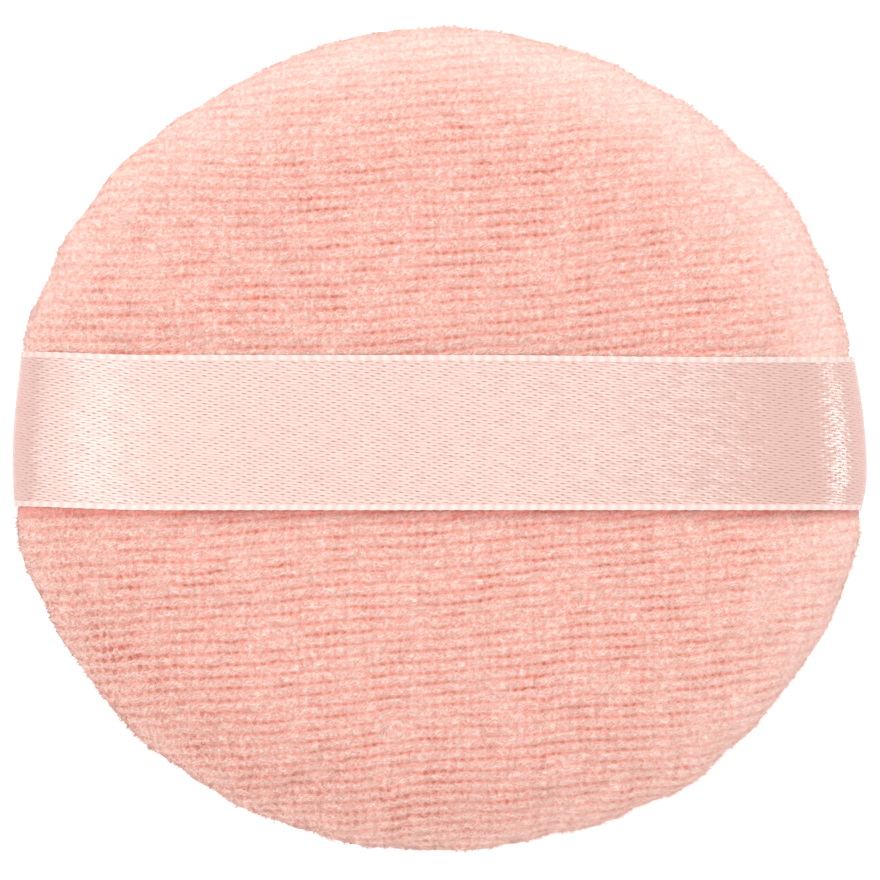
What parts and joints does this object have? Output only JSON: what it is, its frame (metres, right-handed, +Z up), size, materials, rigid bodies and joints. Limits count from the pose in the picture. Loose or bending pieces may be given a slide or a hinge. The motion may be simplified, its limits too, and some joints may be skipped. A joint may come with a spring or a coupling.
{
  "type": "powder puff",
  "caption": "Round pink velour powder puff: two pile panels sewn over a foam disc, with a flat satin ribbon across the back that lifts as a finger loop.",
  "frame": {"origin": "centre of the flat resting area of the face panel, at the bottom of the puff", "axes": "+X along the ribbon, +Y across it towards the top of the picture, +Z up from the resting face to the ribbon"},
  "size_m": [0.0828, 0.08, 0.0171],
  "materials": {
    "velour": "short cut-pile knitted velour, pink, matte with a soft sheen",
    "ribbon": "woven polyester satin, pale pink, soft gloss",
    "foam": "open-cell polyurethane foam, off-white, matte",
    "thread": "spun polyester sewing thread, pink"
  },
  "bodies": {
    "pad": {"face_panel": "velour", "back_panel": "velour", "sponge_core": "foam", "ribbon_tail_left": "ribbon", "ribbon_tail_right": "ribbon", "ribbon_stay_stitch_left": "thread", "ribbon_stay_stitch_right": "thread", "seam_needle_thread": "thread", "seam_bobbin_thread": "thread", "closing_thread": "thread"},
    "ribbon": {"ribbon_band": "ribbon"}
  },
  "joints": [
    {"name": "ribbon_lift", "type": "slide", "parent": "pad", "child": "ribbon", "axis": [0, 0, 1], "range_m": [0, 0.008]}
  ]
}
